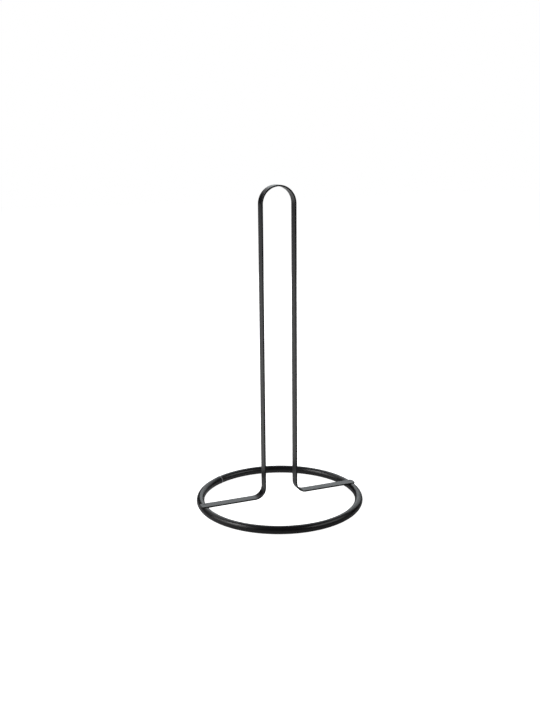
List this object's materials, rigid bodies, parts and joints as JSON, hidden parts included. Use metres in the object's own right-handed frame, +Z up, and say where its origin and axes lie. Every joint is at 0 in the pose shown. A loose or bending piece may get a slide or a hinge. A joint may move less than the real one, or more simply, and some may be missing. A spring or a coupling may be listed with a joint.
{
  "type": "paper towel holder",
  "caption": "Free-standing paper towel holder: a tall hairpin of flat steel strip with its feet welded across a round-bar base ring. A roll slides down over the hairpin.",
  "frame": {"origin": "centre of the base ring, at the height of the table it stands on", "axes": "+Z up along the hairpin; the hairpin and its feet lie in the XZ plane, with the left foot along -X and the right foot along +X; -Y is the front"},
  "size_m": [0.17, 0.17, 0.32],
  "materials": {
    "ring_powder_coat": "satin black powder coat on steel bar",
    "strip_powder_coat": "satin black powder coat on steel strip",
    "weld_powder_coat": "thin black powder coat over weld metal"
  },
  "bodies": {
    "root": {"base_ring": "ring_powder_coat", "ring_butt_weld": "weld_powder_coat", "hairpin_strip": "strip_powder_coat", "left_foot_weld": "weld_powder_coat", "right_foot_weld": "weld_powder_coat"}
  },
  "joints": []
}
